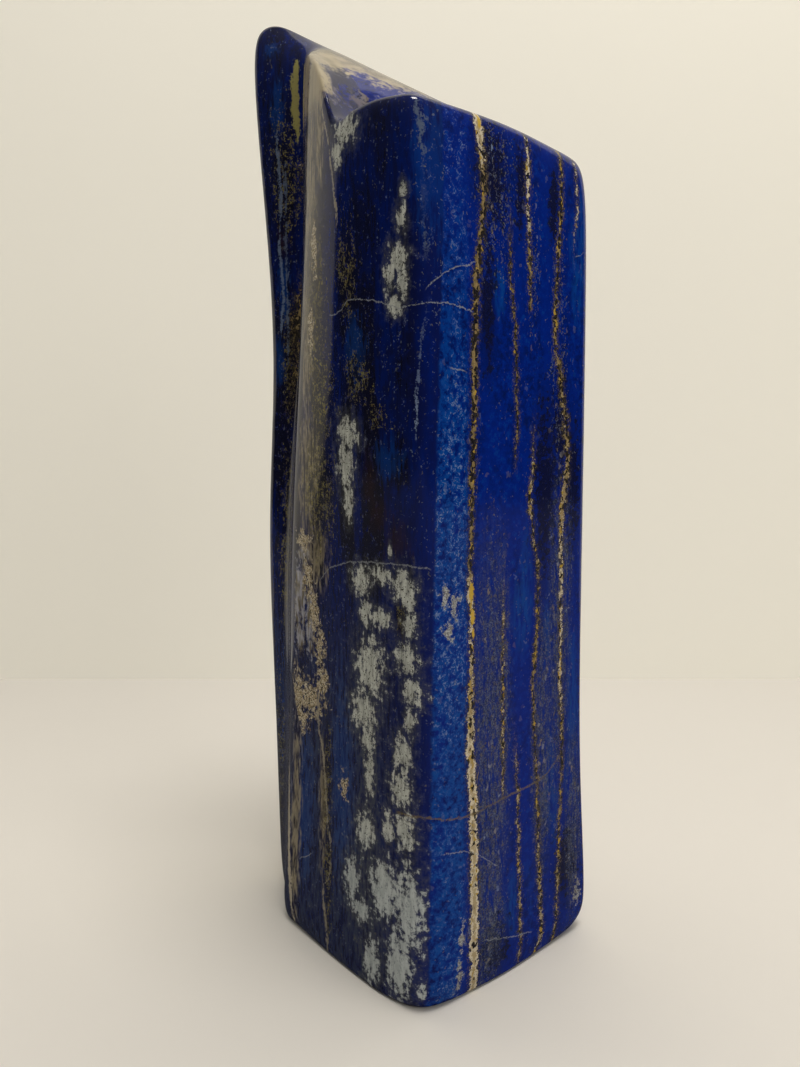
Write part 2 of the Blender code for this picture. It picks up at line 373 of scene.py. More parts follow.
class StoneColours(bpy.types.PropertyGroup):
    """Colours of the minerals in the stone, and of the painted highlights and reflections on its left side.
    """

    ultramarine: colour_property("Ultramarine", "Pure blue of the right face", (0.0006, 0.017, 0.235))
    bright_blue: colour_property("Bright Blue", "Lighter band at the front edge", (0.003, 0.06, 0.3))
    pale_blue: colour_property("Pale Blue", "Pale specks in the bright band", (0.25, 0.33, 0.5))
    navy: colour_property("Navy", "Dark blue of the left face", (0.0015, 0.01, 0.105))
    black: colour_property("Black", "Darkest stone, between the flecks", (0.006, 0.006, 0.014))
    calcite: colour_property("Calcite", "Grey green patches on the left face", (0.49, 0.51, 0.465))
    cream: colour_property("Cream", "Palest part of the veins", (0.72, 0.64, 0.48))
    ochre: colour_property("Ochre", "Yellow brown part of the veins", (0.28, 0.205, 0.09))
    gold: colour_property("Gold", "Flecks of pyrite", (0.5, 0.33, 0.045))
    olive: colour_property("Olive", "Dark edges of the veins", (0.035, 0.03, 0.018))
    moss: colour_property("Moss", "Yellow green strip of the rear lobe", (0.34, 0.31, 0.1))
    # Made light partly as a painted reflection of the wall along the left ridge.
    ridge: colour_property("Ridge", "Greyish brown veil along the left ridge", (0.2, 0.17, 0.11))
    violet: colour_property("Violet", "Dusty violet grey between the veins", (0.04, 0.052, 0.105))
    # Painted reflection of the wall near the left ridge, not a mineral.
    lilac_reflection: colour_property("Lilac", "Pale grey patch inside the ochre knots", (0.42, 0.42, 0.46))
    rust: colour_property("Rust", "Reddish black patches of the left face", (0.022, 0.01, 0.012))
    low_calcite_dark: colour_property("Low Calcite, Dark", "Calcite near the foot", (0.27, 0.31, 0.34))
    low_calcite_pale: colour_property("Low Calcite, Pale", "Calcite near the foot", (0.66, 0.74, 0.78))
    crack: colour_property("Crack", "Healed hairlines", (0.3, 0.32, 0.34))


class StageSettings(bpy.types.PropertyGroup):
    """The plain studio."""

    floor: colour_property("Floor", "Colour of the pale floor", (0.77, 0.74, 0.69))
    backdrop: colour_property("Backdrop", "Colour of the wall behind", (0.88, 0.85, 0.75))
    key_power: power_property("Key Power", "overhead", 5.8)
    fill_power: power_property("Fill Power", "at the front right", 2.8)
    wall_power: power_property("Wall Power", "on the wall", 2.6)


class Weave:
    """Adds nodes to a tree and links what feeds them."""

    def __init__(self, tree):
        self.tree = tree

    def add(self, kind, **settings):
        node = self.tree.nodes.new(kind)
        for name, value in settings.items():
            setattr(node, name, value)
        return node

    def feed(self, socket, value):
        if isinstance(value, bpy.types.NodeSocket):
            self.tree.links.new(value, socket)
        elif value is not None:
            if socket.type == "RGBA" and len(value) == 3:
                value = (*value, 1)
            socket.default_value = value

    def fill(self, node, **values):
        """Feeds inputs of a node by their names, and gives the node's outputs."""
        for name, value in values.items():
            self.feed(node.inputs[name.replace("_", " ").title()], value)
        return node.outputs

    def math(self, operation, *values, clamp=False):
        node = self.add("ShaderNodeMath", operation=operation, use_clamp=clamp)
        for socket, value in zip(node.inputs, values):
            self.feed(socket, value)
        return node.outputs[0]

    def plus(self, a, b):
        return self.math("ADD", a, b)

    def minus(self, a, b):
        return self.math("SUBTRACT", a, b)

    def times(self, a, b, clamp=False):
        return self.math("MULTIPLY", a, b, clamp=clamp)

    def vector(self, operation, a, b=None):
        node = self.add("ShaderNodeVectorMath", operation=operation)
        self.feed(node.inputs[0], a)
        self.feed(node.inputs[1], b)
        return node.outputs["Value" if operation in {"LENGTH", "DOT_PRODUCT"} else "Vector"]

    def combine(self, x, y, z=0):
        return self.fill(self.add("ShaderNodeCombineXYZ"), x=x, y=y, z=z)[0]

    def split(self, vector):
        return self.fill(self.add("ShaderNodeSeparateXYZ"), vector=vector)

    def mix(self, factor, a, b):
        node = self.add("ShaderNodeMix", data_type="RGBA")
        for place, value in ((0, factor), (6, a), (7, b)):
            self.feed(node.inputs[place], value)
        return node.outputs[2]

    def step(self, value, low, high):
        """0 below low, 1 above high, smooth between; low may be the larger one."""
        node = self.add("ShaderNodeMapRange", interpolation_type="SMOOTHSTEP")
        return self.fill(node, value=value, from_min=low, from_max=high)[0]

    def noise(self, vector, scale, detail, roughness):
        node = self.add("ShaderNodeTexNoise")
        return self.fill(node, vector=vector, scale=scale, detail=detail, roughness=roughness)["Fac"]

    def curve(self, value, points, low, high, reach):
        """A curve through (place, amount) points: places from low to high, amounts up to reach."""
        share = self.fill(self.add("ShaderNodeMapRange"), value=value, from_min=low, from_max=high)[0]
        node = self.add("ShaderNodeFloatCurve")
        line = node.mapping.curves[0]
        places = [((place - low) / (high - low), amount / reach) for place, amount in points]
        line.points[0].location = places[0]
        line.points[1].location = places[-1]
        for place in places[1:-1]:
            line.points.new(*place)
        for point in line.points:
            point.handle_type = "AUTO_CLAMPED"
        node.mapping.update()
        return self.times(self.fill(node, value=share)[0], reach)

    def group(self, tree, label="", **values):
        return self.fill(self.add("ShaderNodeGroup", node_tree=tree, label=label), **values)


def new_group(name, inputs, outputs):
    """A shader node group with named inputs and outputs, as what fills it and its two end nodes."""
    tree = bpy.data.node_groups.new(name, "ShaderNodeTree")
    for label, default in inputs.items():
        kind = "NodeSocketVector" if isinstance(default, tuple) else "NodeSocketFloat"
        tree.interface.new_socket(label, in_out="INPUT", socket_type=kind).default_value = default
    for label in outputs:
        tree.interface.new_socket(label, in_out="OUTPUT", socket_type="NodeSocketFloat")
    w = Weave(tree)
    return w, w.add("NodeGroupInput").outputs, w.add("NodeGroupOutput")


def vein_group():
    """A sheet of other mineral: its core, the zone of scattered grains beside it, and its inside."""
    inputs = {"Along": 0, "Place": 0, "Width": 1, "Ragged": 0}
    w, given, out = new_group("vein", inputs, ("Core", "Rim", "Inner"))
    away = w.math("ABSOLUTE", w.minus(given["Along"], given["Place"]))
    there = w.step(given["Width"], 0.02, 0.3)
    edge = w.minus(w.math("MULTIPLY_ADD", given["Width"], 0.5, given["Ragged"]), away)
    core = w.times(w.step(edge, -0.25, 0.25), there)
    rim = w.times(w.step(edge, -1.8, 0.2), there)
    w.fill(out, core=core, rim=rim, inner=w.step(edge, 0.75, 1.05))
    return w.tree


def spot_group():
    """How deep inside an upright oval spot a place lies: 1 in its middle, 0 at its edge, then below."""
    inputs = {"Place": (0, 0, 0), "Middle": (0, 0, 0), "Half Size": (1, 1, 1)}
    w, given, out = new_group("spot", inputs, ("Depth",))
    away = w.vector("SUBTRACT", given["Place"], given["Middle"])
    away = w.vector("LENGTH", w.vector("DIVIDE", away, given["Half Size"]))
    w.fill(out, depth=w.minus(1, away))
    return w.tree


def crack_group():
    """A hairline that crosses the faces at a height of its own, between a first and a last place."""
    inputs = {"Up": 0, "Height": 0, "Place": 0, "First": 0, "Last": 1, "Width": 0.3}
    w, given, out = new_group("crack", inputs, ("Mask",))
    away = w.math("ABSOLUTE", w.minus(given["Up"], given["Height"]))
    line = w.step(away, given["Width"], w.times(given["Width"], 0.35))
    start = w.step(given["Place"], given["First"], w.plus(given["First"], 2))
    end = w.step(given["Place"], given["Last"], w.minus(given["Last"], 2))
    w.fill(out, mask=w.times(line, w.times(start, end)))
    return w.tree


def placed(name, data):
    """A new object in the scene."""
    thing = bpy.data.objects.new(name, data)
    bpy.context.scene.collection.objects.link(thing)
    return thing


class StoneMaterial:
    """Builds the material of the stone, one effect after the other."""

    def __init__(self, colours, roughness):
        self.colours = colours
        self.material = bpy.data.materials.new(SLOT)
        self.material.use_nodes = True
        self.weave = Weave(self.material.node_tree)
        self.vein, self.spot, self.crack = vein_group(), spot_group(), crack_group()
        self.roughness = roughness
        self.metal = 0
        self.places()

    def tint(self, given):
        """A mineral's colour by its name, a share of one by (name, share), or a socket as it is."""
        name, share = given if isinstance(given, tuple) else (given, 1)
        if not isinstance(name, str):
            return name
        return tuple(share * part for part in getattr(self.colours, name))

    def mix(self, factor, first, second):
        """A colour between two others."""
        return self.weave.mix(factor, self.tint(first), self.tint(second))

    def blend(self, amount, colour, share=None):
        """Lays a colour over what is there, by an amount and, if given, only a share of that."""
        if share is not None:
            amount = self.weave.times(amount, share)
        self.colour = self.mix(amount, self.colour, colour)

    def places(self):
        """Stone coordinates, and the noises and grains that the effects share."""
        w = self.weave
        self.place = w.fill(
            w.add("ShaderNodeMapping", vector_type="TEXTURE"),
            vector=w.add("ShaderNodeTexCoord").outputs["Object"],
            location=(EDGE_X, EDGE_Y, 0),
            rotation=(0, 0, FACE_TURN),
            scale=(MM, MM, MM),
        )[0]
        upright = w.vector("MULTIPLY", self.place, (1, 1, 0.22))
        self.streak = w.noise(upright, 0.8, 3, 0.65)
        self.mottle = w.noise(self.place, 0.42, 4, 0.72)
        self.cloud = w.noise(upright, 0.11, 2, 0.6)
        self.dust = w.noise(self.place, 1.9, 2, 0.6)
        bent = w.fill(w.add("ShaderNodeTexNoise"), vector=self.place, scale=0.9, detail=0)["Color"]
        bend = w.fill(w.add("ShaderNodeVectorMath", operation="SCALE"), vector=bent, scale=1.3)[0]
        shaken = w.vector("ADD", w.vector("MULTIPLY", self.place, (1, 1, 0.7)), bend)
        self.coarse, self.coarse_tone = self.grains(shaken, 1)
        self.fine, self.fine_tone = self.grains(shaken, 2.9)
        curl = w.noise(self.place, 0.6, 2, 0.5)
        self.curls = w.step(w.math("ABSOLUTE", w.minus(curl, 0.5)), 0.045, 0.01)
        along, self.back, self.up = w.split(self.place)
        drift = w.noise(w.vector("MULTIPLY", self.place, (0.25, 0.25, 1)), 0.16, 2, 0.6)
        self.along = w.math("MULTIPLY_ADD", w.minus(drift, 0.5), 2.2, along)
        self.across = w.minus(along, self.back)
        self.left_view = w.combine(self.back, self.up)
        self.right_view = w.combine(along, self.up)
        self.top_view = w.combine(along, self.back)

    def grains(self, vector, scale):
        """Mineral grains: a random number for each, and another for its tone."""
        w = self.weave
        cells = w.fill(w.add("ShaderNodeTexVoronoi"), vector=vector, scale=scale)
        return w.split(cells["Color"])[:2]

    def share(self, grains, amount):
        """The grains whose number is below amount, with edges as soft as a pixel."""
        w = self.weave
        return w.step(w.minus(amount, grains), -0.02, 0.04)

    def deepest(self, view, spots):
        """The deepest that a place lies inside any of the spots."""
        w = self.weave
        found = None
        for across, up, wide, high in spots:
            depth = w.group(self.spot, place=view, middle=(across, up, 0), half_size=(wide, high, 1))[0]
            found = depth if found is None else w.math("MAXIMUM", found, depth)
        return found

    def frayed(self, noise, amount):
        """A noise centred on zero, to fray the edge of a zone."""
        w = self.weave
        return w.times(w.minus(noise, 0.5), amount)

    def zone(self, view, spots, noise, fray, high, low=0):
        """How much of a zone of spots is at a place, from 0 to 1."""
        w = self.weave
        return w.step(w.plus(self.deepest(view, spots), self.frayed(noise, fray)), low, high)

    def left_zone(self, spots, noise, fray, high):
        """A zone of the left side, only where its dark layer lies at the surface."""
        return self.weave.times(self.zone(self.left_view, spots, noise, fray, high), self.left)

    def blue_layers(self):
        """The blues of the right side: ultramarine, and a brighter band beside the front edge."""
        w = self.weave
        deep = self.mix(w.step(self.mottle, 0.34, 0.6), "navy", "ultramarine")
        self.colour = self.mix(w.times(w.step(self.cloud, 0.4, 0.6), 0.7), deep, "ultramarine")
        lighter = w.times(w.step(self.mottle, 0.52, 0.7), w.step(self.dust, 0.35, 0.6))
        self.blend(lighter, "bright_blue", 0.55)
        bright = self.zone(self.right_view, BRIGHT_ZONES, self.cloud, 3, 0.8)
        self.blend(w.times(bright, w.times(w.step(self.streak, 0.35, 0.62), 0.7)), "bright_blue")
        band = w.times(w.step(self.along, 17, 13.5), w.curve(self.up, BAND_STRENGTH, 0, TOP, 1))
        self.blend(w.times(band, w.step(self.mottle, 0.36, 0.6)), "bright_blue")
        dark = self.zone(self.right_view, DARK_ZONES, self.mottle, 3.5, 0.6)
        self.blend(dark, "black", 0.85)
        pale = w.times(w.step(self.along, 17, 13), w.curve(self.up, PALE_SPECKS, 0, TOP, 0.5))
        cluster = w.times(w.step(self.mottle, 0.46, 0.6), w.step(self.cloud, 0.3, 0.6))
        pale = w.times(pale, cluster)
        self.blend(self.share(self.fine, w.times(pale, 0.6)), "pale_blue", 0.5)
        curls = w.times(self.curls, w.step(self.fine_tone, 0, 0.6))
        self.blend(w.times(curls, w.times(pale, 2.4), clamp=True), "pale_blue")
        blobs = self.zone(self.right_view, PALE_BLOBS, self.mottle, 6, 0.6, 0.1)
        blobs = w.times(blobs, w.step(self.along, 2.5, 4))
        tone = self.mix(w.step(self.dust, 0.4, 0.62), "ridge", ("calcite", 1.1))
        self.blend(blobs, tone, 0.8)

    def right_dust(self):
        """Fine tan and black grains over the right side, densest beside the veins."""
        w = self.weave
        thick = w.step(self.deepest(self.right_view, DUST_ZONES), 0, 0.7)
        thick = w.times(thick, w.step(self.streak, 0.3, 0.62))
        low = w.times(thick, w.step(self.up, 175, 125))
        haze = self.mix(w.step(self.dust, 0.4, 0.6), ("violet", 0.5), ("violet", 2.2))
        self.blend(low, haze, 0.7)
        self.blend(w.times(thick, w.step(self.dust, 0.54, 0.66)), "black")
        specks = self.share(self.fine, w.times(thick, w.math("MULTIPLY_ADD", low, 0.14, 0.24)))
        tone = self.mix(self.fine_tone, ("ochre", 0.42), ("pale_blue", 0.5))
        self.blend(specks, tone, 0.7)
        few = self.share(self.coarse, w.times(thick, 0.05))
        self.blend(few, self.mix(self.coarse_tone, "ochre", "pale_blue"), 0.7)

    def left_layer(self):
        """The nearly black blue layer under the left face, over the rounded front edge."""
        w = self.weave
        slant = w.curve(self.back, LAYER_SLANT, 0, ACROSS, 40)
        boundary = w.plus(w.curve(self.up, LAYER_EDGE, 0, TOP, 10), slant)
        edge = w.plus(w.minus(boundary, self.along), self.frayed(self.mottle, 3))
        self.left = w.step(edge, -0.6, 0.6)
        blackness = w.curve(self.up, BLACKNESS, 0, TOP, 1)
        blackness = w.times(blackness, w.step(self.cloud, 0.58, 0.4))
        dark = self.mix(blackness, "navy", "black")
        dark = self.mix(w.times(w.step(self.mottle, 0.5, 0.7), 0.35), dark, "ultramarine")
        dark = self.mix(w.times(w.step(self.streak, 0.56, 0.38), 0.5), dark, "black")
        # Violet grey over the lower part of the left layer, away from the front edge.
        violet_low = w.times(w.step(self.up, 135, 70), w.step(self.streak, 0.36, 0.6))
        dark = self.mix(w.times(violet_low, w.step(self.back, 12, 24)), dark, ("violet", 0.8))
        self.blend(self.left, dark)
        spots = self.zone(self.left_view, BLUE_SPOTS, self.streak, 2.6, 0.8)
        spots = w.times(spots, w.times(self.left, 0.4))
        self.blend(spots, "bright_blue")
        edge = w.times(w.step(self.back, 9, 2), w.times(self.left, 0.4))
        self.blend(edge, ("ultramarine", 0.75))
        rare = w.times(w.step(self.mottle, 0.46, 0.64), 0.1)
        few = w.times(self.share(self.fine, rare), self.left)
        self.blend(few, self.mix(self.fine_tone, "pale_blue", ("moss", 0.5)), 0.4)

    def ochre_and_flecks(self):
        """Ochre knots along the left ridge and gold flecks around them; over the ridge a greyish brown that
        is partly its own and partly a painted reflection of the wall, and a lilac grey painted reflection.
        """
        w = self.weave
        # Greyish brown over the left ridge, partly its own tan, partly a painted reflection of the wall.
        veil = self.left_zone(RIDGE_VEIL_AND_REFLECTION, self.streak, 2, 0.8)
        tone = self.mix(w.step(self.streak, 0.35, 0.62), "olive", ("ridge", 1.8))
        self.blend(veil, tone, 0.85)
        # Painted reflection: lilac grey near the left ridge where the wall is mirrored at a grazing angle.
        lilac_reflection = self.left_zone(LILAC_REFLECTION, self.mottle, 3, 0.6)
        tone = self.mix(w.step(self.streak, 0.4, 0.6), ("ridge", 0.9), "lilac_reflection")
        self.blend(lilac_reflection, tone, 0.85)
        rust = self.left_zone(RUST, self.streak, 2.5, 0.9)
        self.blend(rust, "rust", 0.7)
        near = self.left_zone(FLECKS, self.streak, 2.5, 0.7)
        self.blend(w.times(w.times(near, 0.8), w.step(self.mottle, 0.6, 0.44)), "black")
        flecks = self.share(self.fine, w.times(near, w.times(w.step(self.mottle, 0.38, 0.6), 0.55)))
        tone = self.mix(self.fine_tone, ("ochre", 0.55), ("moss", 1.1))
        self.blend(flecks, tone, 0.85)
        amount = self.left_zone(OCHRE, self.mottle, 4.5, 0.45)
        tone = self.mix(w.step(self.dust, 0.4, 0.6), "ochre", "cream")
        tone = self.mix(self.share(self.fine, 0.22), tone, "olive")
        self.blend(amount, tone, 0.9)
        self.roughness = w.math("MULTIPLY_ADD", amount, 0.15, self.roughness)
        self.metal = w.times(flecks, 0.4)

    def head(self):
        """A greyish brown over the far side of the head, round the blue floor of the hollow."""
        w = self.weave
        high = w.step(self.up, 256, 264)
        tan_top = w.times(self.zone(self.top_view, HEAD_TAN, self.mottle, 1.6, 0.4), high)
        tone = self.mix(w.step(self.cloud, 0.35, 0.62), ("ridge", 1.4), ("ridge", 2.6))
        self.blend(tan_top, tone, 0.85)
        floor = w.times(self.zone(self.top_view, HOLLOW_BLUE, self.mottle, 2, 0.5), high)
        tone = self.mix(w.step(self.mottle, 0.4, 0.6), "black", "ultramarine")
        self.blend(floor, tone, 0.9)
        self.roughness = w.math("MULTIPLY_ADD", floor, 0.35, self.roughness)
        brown = w.times(self.zone(self.top_view, HOLLOW_BROWN, self.mottle, 5, 0.5, 0.1), high)
        self.blend(brown, ("ochre", 0.55), 0.7)

    def calcite_patches(self):
        """Pale upright patches in the layer under the left face."""
        w = self.weave
        fray = w.plus(self.frayed(self.streak, 1.4), self.frayed(self.mottle, 3.6))
        depth = w.plus(self.deepest(self.left_view, CALCITE), fray)
        amount = w.times(w.step(depth, -0.05, 0.5), self.left)
        veil = w.times(w.step(depth, -1.1, 0.4), self.left)
        self.blend(veil, ("calcite", 0.2), 0.5)
        tone = self.mix(w.step(self.streak, 0.35, 0.65), ("calcite", 0.75), ("calcite", 1.3))
        pits = self.share(self.fine, w.times(w.step(self.dust, 0.6, 0.4), 0.22))
        tone = self.mix(pits, tone, "olive")
        low_tone = self.mix(self.streak, "low_calcite_dark", "low_calcite_pale")
        tone = self.mix(w.times(w.step(self.up, 62, 30), 0.6), tone, low_tone)
        self.blend(amount, tone, 0.92)
        self.roughness = w.math("MULTIPLY_ADD", amount, 0.1, self.roughness)

    def sheet(self, name, along, line, widths, ragged):
        """An upright sheet that follows a line by height, as the outputs of its group."""
        place = self.weave.curve(self.up, line, 0, TOP, ACROSS)
        width = self.weave.curve(self.up, widths, 0, TOP, WIDEST)
        return self.weave.group(self.vein, name, along=along, place=place, width=width, ragged=ragged)

    def veins(self):
        """Upright sheets of calcite and pyrite grains that run through the stone."""
        w = self.weave
        ragged = w.plus(self.frayed(self.mottle, 4.5), self.frayed(self.dust, 2.5))
        dark = self.mix(self.fine_tone, "black", "olive")
        for name, (line, widths, pale) in VEINS.items():
            out = self.sheet(name, self.along, line, widths, ragged)
            paleness = w.curve(self.up, pale, 0, TOP, 1)
            creamy = w.step(w.plus(self.dust, paleness), 1.05, 1.35)
            light = self.mix(creamy, ("ochre", 0.9), "cream")
            light = self.mix(w.step(self.coarse_tone, 0.84, 0.9), light, "gold")
            inside = w.times(out["Inner"], w.step(self.mottle, 0.38, 0.52))
            light = self.mix(w.times(inside, 0.75), light, ("ochre", 1.3))
            tone = self.mix(self.share(self.coarse, paleness), dark, light)
            self.blend(w.times(out["Rim"], self.share(self.fine, 0.5)), "olive")
            self.blend(w.times(out["Rim"], w.step(self.fine, 0.8, 0.86)), ("ochre", 0.7))
            self.blend(out["Core"], tone, 0.95)

    def nuggets(self):
        """A few larger grains of pyrite in the main vein."""
        w = self.weave
        amount = self.zone(self.right_view, NUGGETS, self.dust, 1.5, 0.25)
        self.blend(amount, ("gold", 1.3), 0.95)
        self.metal = w.math("MAXIMUM", self.metal, w.times(amount, 0.1))

    def left_lines(self):
        """Thin upright lines on the left side, which follow a distance back from the front edge: veins, and
        painted highlights and painted reflections.
        """
        w = self.weave
        ragged = w.plus(self.frayed(self.mottle, 2.8), self.frayed(self.dust, 1.6))
        back = w.plus(self.back, self.frayed(self.streak, 2))
        for name, (line, widths, colour, share) in LEFT_LINES.items():
            core = self.sheet(name, back, line, widths, ragged)["Core"]
            mask = w.times(core, w.times(self.left, 0.85))
            self.blend(mask, (colour, share))

    def cracks(self):
        """Hairlines across the two front faces."""
        w = self.weave
        up = w.plus(self.up, self.frayed(self.mottle, 2.5))
        for name, (line, width, strength) in CRACKS.items():
            height = w.curve(self.across, line, -ACROSS, ACROSS, TOP)
            ends = {"first": line[0][0], "last": line[-1][0]}
            out = w.group(self.crack, name, up=up, height=height, place=self.across, width=width, **ends)
            mask = w.times(out["Mask"], w.step(self.dust, 0.34, 0.5))
            tone = ("ochre", 0.6) if name == "long" else "crack"
            self.blend(w.times(mask, strength), tone)

    def build(self):
        """Lays the effects over each other in their order, and gives the material."""
        self.blue_layers()
        self.right_dust()
        self.left_layer()
        self.ochre_and_flecks()
        self.head()
        self.calcite_patches()
        self.veins()
        self.nuggets()
        self.left_lines()
        self.cracks()
        shader = self.material.node_tree.nodes["Principled BSDF"]
        self.weave.fill(shader, base_color=self.colour, roughness=self.roughness, metallic=self.metal)
        shader.inputs["IOR"].default_value = STONE_IOR
        return self.material


def quad_copy(node):
    """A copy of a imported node's mesh, merged and with its triangles joined in pairs."""
    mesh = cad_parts[node].data
    shape = bmesh.new()
    shape.from_mesh(mesh)
    bmesh.ops.remove_doubles(shape, verts=shape.verts, dist=SAME_PLACE)
    bmesh.ops.join_triangles(
        shape, faces=shape.faces, angle_face_threshold=QUAD_LIMIT, angle_shape_threshold=QUAD_LIMIT
    )
    copy = bpy.data.meshes.new(PIECE)
    shape.to_mesh(copy)
    shape.free()
    return copy


def polish_tree():
    """Geometry nodes that refine a surface and give it the slight waves of hand polishing."""
    tree = bpy.data.node_groups.new("hand_polish", "GeometryNodeTree")
    for name, kind, default in (
        ("Geometry", "Geometry", None),
        ("Refine", "Int", 2),
        ("Wave Height", "Float", WAVE_HEIGHT),
        ("Wave Length", "Float", WAVE_LENGTH),
        ("Hollow Depth", "Float", HOLLOW_DEPTH),
        ("Seed", "Float", WAVE_SEED),
        ("Material", "Material", None),
    ):
        socket = tree.interface.new_socket(name, in_out="INPUT", socket_type="NodeSocket" + kind)
        if default is not None:
            socket.default_value = default
    tree.interface.new_socket("Geometry", in_out="OUTPUT", socket_type="NodeSocketGeometry")
    w = Weave(tree)
    given = w.add("NodeGroupInput").outputs
    refine = w.add("GeometryNodeSubdivisionSurface")
    refined = w.fill(refine, mesh=given["Geometry"], level=given["Refine"])[0]
    scale = w.math("DIVIDE", 1, given["Wave Length"])
    noise = w.add("ShaderNodeTexNoise", noise_dimensions="4D")
    waves = w.fill(noise, w=given["Seed"], scale=scale, detail=1)["Fac"]
    height = w.times(w.minus(waves, 0.5), given["Wave Height"])
    outward = w.add("GeometryNodeInputNormal").outputs[0]
    offset = w.fill(w.add("ShaderNodeVectorMath", operation="SCALE"), vector=outward, scale=height)[0]
    place = w.add("GeometryNodeInputPosition").outputs[0]
    sink = w.times(hollow_shape(w, place), given["Hollow Depth"])
    offset = w.vector("ADD", offset, w.combine(0, 0, w.times(sink, -1)))
    moved = w.fill(w.add("GeometryNodeSetPosition"), geometry=refined, offset=offset)[0]
    smooth = w.fill(w.add("GeometryNodeSetShadeSmooth"), geometry=moved)[0]
    real = w.fill(w.add("GeometryNodeRealizeInstances"), geometry=smooth)[0]
    painted = w.fill(w.add("GeometryNodeSetMaterial"), geometry=real, material=given["Material"])[0]
    w.fill(w.add("NodeGroupOutput"), geometry=painted)
    return tree


def hollow_shape(w, place):
    """How much of its extra depth the hollow in the head has at a place: a rounded trough."""
    from_edge = w.vector("SUBTRACT", place, (EDGE_X, EDGE_Y, 0))
    along = w.vector("DOT_PRODUCT", from_edge, (math.cos(FACE_TURN), math.sin(FACE_TURN), 0))
    back = w.vector("DOT_PRODUCT", from_edge, (-math.sin(FACE_TURN), math.cos(FACE_TURN), 0))
    up = w.vector("DOT_PRODUCT", place, (0, 0, 1))
    away_along = w.math("DIVIDE", w.minus(along, HOLLOW_ALONG), HOLLOW_HALF_LENGTH)
    away_back = w.math("DIVIDE", w.minus(back, HOLLOW_BACK), HOLLOW_HALF_WIDTH)
    squares = w.math("MULTIPLY_ADD", away_along, away_along, w.times(away_back, away_back))
    bowl = w.math("EXPONENT", w.times(squares, -0.5))
    behind_rim = w.step(back, HOLLOW_BACK - 11 * MM, HOLLOW_BACK - 4 * MM)
    on_head = w.step(up, 238 * MM, 250 * MM)
    return w.times(bowl, w.times(behind_rim, on_head))


def polished(mesh, material, settings):
    """The mesh as the polish tree refines it, as an object of its own."""
    piece = placed(PIECE, mesh)
    tree = polish_tree()
    polish = piece.modifiers.new("polish", "NODES")
    polish.node_group = tree
    values = {
        "Refine": settings.refine,
        "Wave Height": settings.wave_height,
        "Wave Length": settings.wave_length,
        "Hollow Depth": settings.hollow_depth,
        "Material": material,
    }
    for item in tree.interface.items_tree:
        if item.in_out == "INPUT" and item.name in values:
            polish[item.identifier] = values[item.name]
    piece.update_tag()
    bpy.context.view_layer.update()
    evaluated = piece.evaluated_get(bpy.context.evaluated_depsgraph_get())
    refined = bpy.data.meshes.new_from_object(evaluated)
    piece.modifiers.clear()
    piece.data = refined
    return piece


class LAPIS_OT_stone(bpy.types.Operator):
    """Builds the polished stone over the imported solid."""

    bl_idname = "lapis.stone"
    bl_label = "Polished Stone"

    def execute(self, context):
        scene = context.scene
        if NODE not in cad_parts:
            raise RuntimeError("the packed model has no stone")
        material = StoneMaterial(scene.lapis_colours, scene.lapis_stone.roughness).build()
        piece = polished(quad_copy(NODE), material, scene.lapis_stone)
        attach(piece, "root")
        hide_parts(NODE)
        return {"FINISHED"}


# The camera: its place, its tilt from straight down, and its lens as lengths in pixels.
CAMERA_PLACE = (-7 * MM, -273.4 * MM, 173.1 * MM)
CAMERA_TILT = math.radians(82)
PHOTO_LONG_SIDE = 1067
FOCAL_PIXELS = 863
SENSOR = 36

# The floor and the wall, in metres, and how much darker the stone mirrors them than they are.
FLOOR_HALF = 1.6
WALL_HALF = 0.6
WALL_Y = 0.273
WALL_TOP = 1.6
FLOOR_ROUGHNESS, WALL_ROUGHNESS = 0.6, 0.7
FLOOR_DIMMED, WALL_DIMMED = 0.87, 0.42

# The wall's own faint light, and that of the floor far from the stone, where the lamps don't reach.
WALL_GLOW_COLOUR = (0.95, 0.92, 0.84)
WALL_GLOW = 0.17
FAR_FROM, FAR_TO = 0.4, 1.3
FAR_GLOW = 0.5

# The room low down and overhead, the same as the stone mirrors it, and what the camera sees of it.
ROOM_LOW, ROOM_HIGH = (0.02, 0.019, 0.018), (0.42, 0.41, 0.39)
MIRRORED_LOW, MIRRORED_HIGH = (0.012, 0.012, 0.012), (0.16, 0.155, 0.15)
BEYOND = (0.72, 0.67, 0.57)

# Lamps: name, place, aim, size, the setting with its power, and whether the stone mirrors it.
LAMP_COLOUR = (1, 0.96, 0.9)
LAMPS = (
    ("overhead", (0.16, -0.22, 1.25), (0, 0, 0.1), (0.42, 0.26), "key_power", True),
    ("front_right", (0.75, -0.85, 0.75), (0, 0, 0.15), (0.6, 0.6), "fill_power", False),
    ("on_wall", (0, 0.15, 1.2), (0, WALL_Y, 0.3), (1.2, 0.3), "wall_power", False),
)


def plain_material(name, colour, roughness):
    """A plain painted surface of the stage."""
    material = bpy.data.materials.new(name)
    material.use_nodes = True
    shader = material.node_tree.nodes["Principled BSDF"]
    Weave(material.node_tree).fill(shader, base_color=colour, roughness=roughness)
    return material


def wrap_shader(material, factor, other):
    """Mixes another shader over the material's own, by a factor socket."""
    w = Weave(material.node_tree)
    choice = w.add("ShaderNodeMixShader")
    output = material.node_tree.nodes["Material Output"].inputs["Surface"]
    w.feed(choice.inputs[0], factor)
    w.feed(choice.inputs[1], output.links[0].from_socket)
    w.feed(choice.inputs[2], other)
    w.feed(output, choice.outputs[0])


